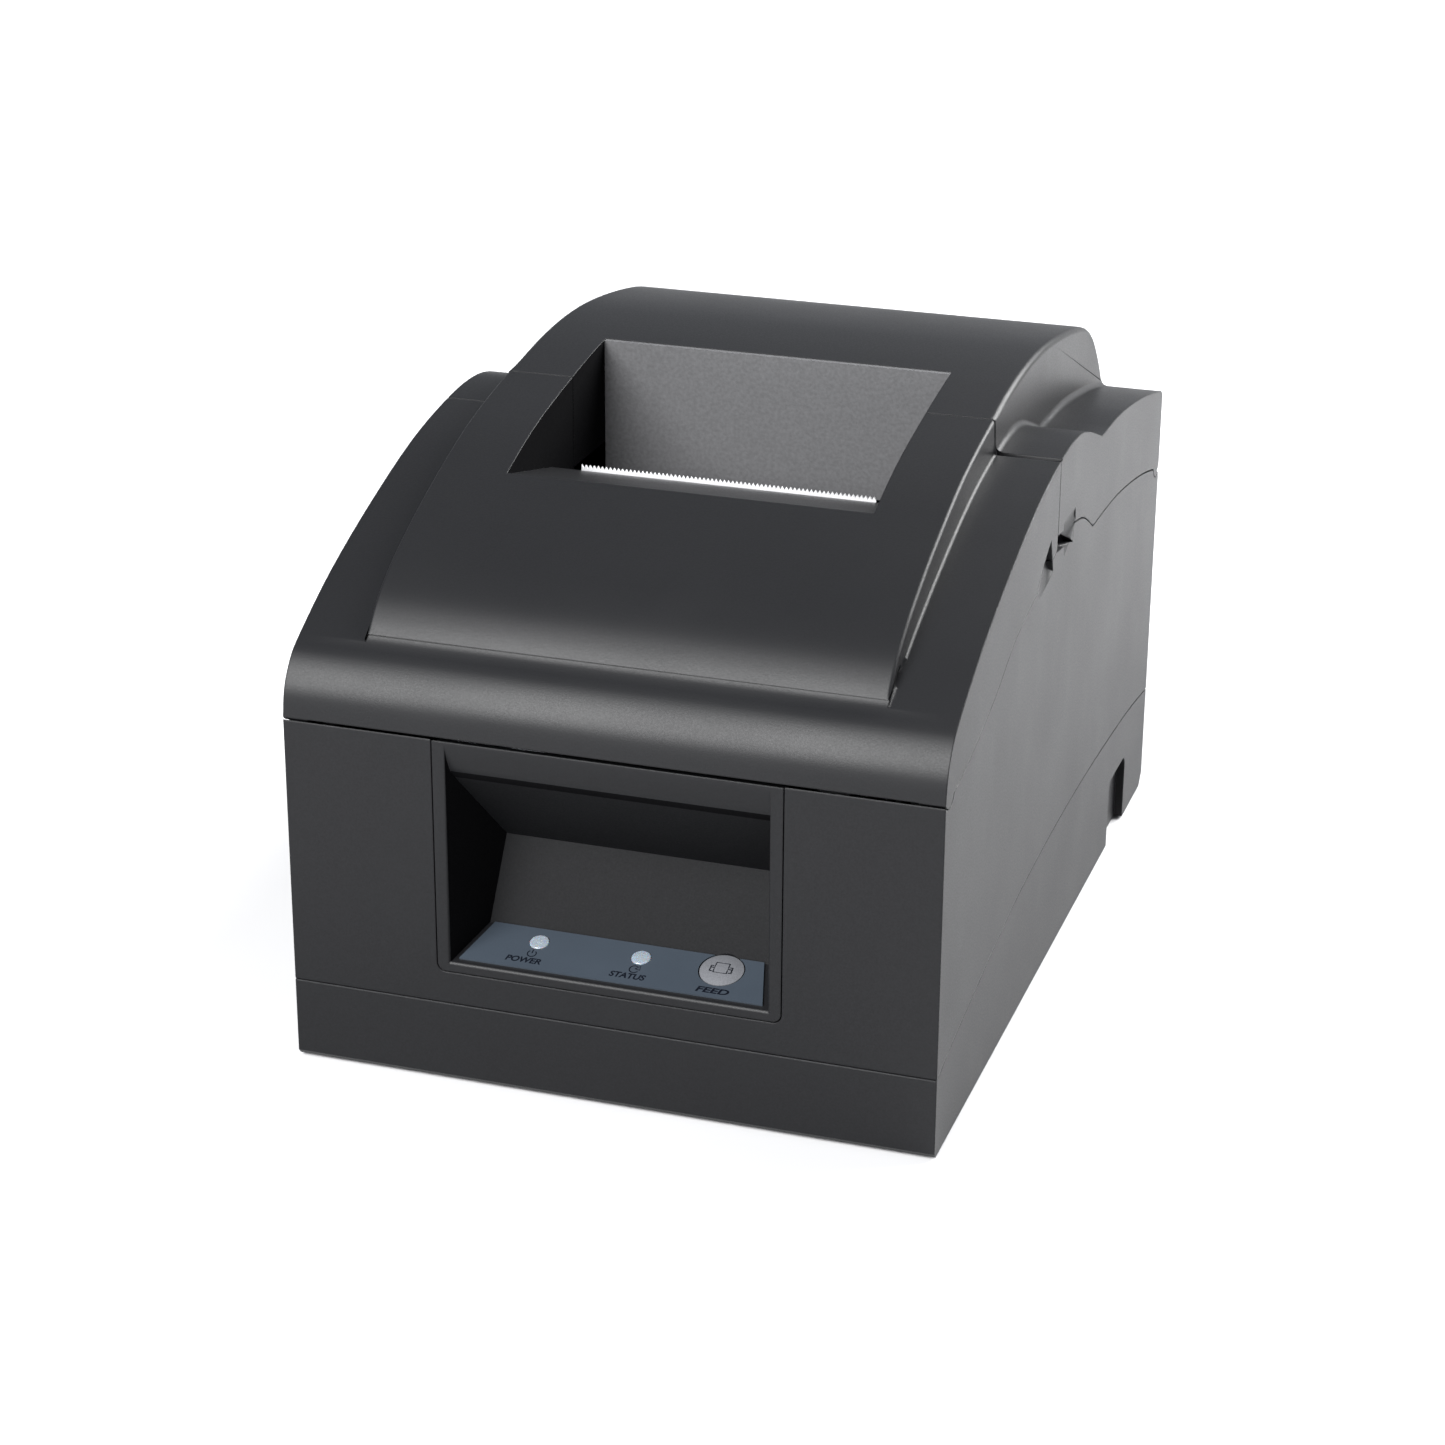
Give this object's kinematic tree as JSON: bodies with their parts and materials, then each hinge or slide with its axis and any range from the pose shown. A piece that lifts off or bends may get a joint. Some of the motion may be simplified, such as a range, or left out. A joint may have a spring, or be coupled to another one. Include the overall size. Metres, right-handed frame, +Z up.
{
  "type": "receipt printer",
  "caption": "Desktop impact receipt printer with hinged front and roll lids, a paper window with tear bar, and a recessed front control panel.",
  "frame": {"origin": "centre of the footprint at the level of the rubber feet", "axes": "+X to the right seen from the front, front panel faces -Y, +Z up"},
  "size_m": [0.158, 0.228, 0.1486],
  "materials": {
    "shell": "fine-grained matte",
    "exit": "grained matte",
    "label": "printed film",
    "lamp": "translucent",
    "button": "satin",
    "deck": "matte",
    "steel": "plain",
    "grey_plastic": "matte",
    "black_plastic": "matte",
    "head_alloy": "cast",
    "motor_can": "plated",
    "gear_plastic": "natural",
    "rubber": "ground",
    "ribbon": "inked",
    "board": "solder mask",
    "chips": "moulded"
  },
  "bodies": {
    "base": {"bottom_case": "shell", "middle_case": "shell", "front_insert": "shell", "label_plate": "label", "power_lamp": "lamp", "status_lamp": "lamp", "paper_bucket": "deck", "front_hinge_pins": "steel", "rear_hinge_pins": "steel", "left_frame": "steel", "right_frame": "steel", "mech_base": "steel", "mech_screws": "steel", "guide_shaft": "steel", "guide_rod": "steel", "pulley_bracket": "steel", "idler_pin": "steel", "case_screws": "steel", "connector_plate": "steel", "usb_port": "steel", "network_port": "steel", "paper_guide": "grey_plastic", "timing_belt": "black_plastic", "ribbon_cassette": "black_plastic", "power_inlet": "black_plastic", "drawer_port": "black_plastic", "switch_body": "black_plastic", "cover_switch": "black_plastic", "carriage_motor": "motor_can", "feed_motor": "motor_can", "platen": "rubber", "rubber_feet": "rubber", "ribbon_band": "ribbon", "panel_board": "board", "main_board": "board", "board_parts": "chips"},
    "front_lid": {"front_cover": "shell", "tear_bar": "steel"},
    "roll_lid": {"roll_cover": "shell", "exit_wall": "exit"},
    "button": {"feed_button": "button"},
    "lever": {"near_end_lever": "grey_plastic"},
    "carriage": {"carriage": "black_plastic", "print_head": "head_alloy", "head_mask": "steel"},
    "drive": {"drive_pulley": "grey_plastic"},
    "idler_wheel": {"idler_pulley": "grey_plastic"},
    "feed": {"feed_roller": "rubber", "feed_gear": "gear_plastic"},
    "idler": {"idler_gear": "gear_plastic"},
    "pinion": {"feed_pinion": "gear_plastic"},
    "pinch": {"pinch_roller": "rubber"},
    "ribbon_drive": {"ribbon_knob": "grey_plastic"},
    "rocker": {"power_rocker": "black_plastic"}
  },
  "joints": [
    {"name": "front_lid_hinge", "type": "hinge", "parent": "base", "child": "front_lid", "pos_m": [0, -0.1108, 0.091], "axis": [1, 0, 0], "range_deg": [0, 80]},
    {"name": "roll_lid_hinge", "type": "hinge", "parent": "base", "child": "roll_lid", "pos_m": [0, 0.1108, 0.098], "axis": [-1, 0, 0], "range_deg": [0, 80]},
    {"name": "feed_button_press", "type": "slide", "parent": "base", "child": "button", "axis": [0, 0.2782, -0.9605], "range_m": [0, 0.0008], "stiffness_N_per_m": 400, "springref_m": -0.0008},
    {"name": "near_end_lever_tilt", "type": "hinge", "parent": "base", "child": "lever", "pos_m": [-0.044, 0.062, 0.06], "axis": [1, 0, 0], "range_deg": [-8, 8], "stiffness_Nm_per_rad": 0.002},
    {"name": "carriage_travel", "type": "slide", "parent": "base", "child": "carriage", "axis": [1, 0, 0], "range_m": [-0.028, 0.028]},
    {"name": "drive_pulley_spin", "type": "hinge", "parent": "base", "child": "drive", "pos_m": [-0.039, -0.056, 0.061], "axis": [0, 0, 1], "range_deg": [-250, 250]},
    {"name": "idler_pulley_spin", "type": "hinge", "parent": "base", "child": "idler_wheel", "pos_m": [0.039, -0.056, 0.061], "axis": [0, 0, 1], "range_deg": [-250, 250]},
    {"name": "feed_roller_spin", "type": "hinge", "parent": "base", "child": "feed", "pos_m": [0, -0.013, 0.07], "axis": [1, 0, 0], "continuous": true},
    {"name": "idler_gear_spin", "type": "hinge", "parent": "base", "child": "idler", "pos_m": [0.055, -0.03716, 0.05188], "axis": [1, 0, 0], "continuous": true},
    {"name": "pinion_spin", "type": "hinge", "parent": "base", "child": "pinion", "pos_m": [0.055, -0.05052, 0.03415], "axis": [1, 0, 0], "continuous": true},
    {"name": "pinch_roller_spin", "type": "hinge", "parent": "base", "child": "pinch", "pos_m": [0, -0.0246, 0.07], "axis": [1, 0, 0], "continuous": true},
    {"name": "ribbon_knob_turn", "type": "hinge", "parent": "base", "child": "ribbon_drive", "pos_m": [0.032, -0.082, 0.101], "axis": [0, 0, 1], "continuous": true},
    {"name": "power_rocker_tilt", "type": "hinge", "parent": "base", "child": "rocker", "pos_m": [-0.054, 0.1094, 0.062], "axis": [1, 0, 0], "range_deg": [0, 10.5]}
  ],
  "couplings": [
    {"joint": "drive_pulley_spin", "follows": "carriage_travel", "rad_per_m": 153.85},
    {"joint": "idler_pulley_spin", "follows": "carriage_travel", "rad_per_m": 153.85},
    {"joint": "idler_gear_spin", "follows": "feed_roller_spin", "ratio": -0.875},
    {"joint": "pinion_spin", "follows": "feed_roller_spin", "ratio": 2.3333},
    {"joint": "pinch_roller_spin", "follows": "feed_roller_spin", "ratio": -1.75}
  ]
}
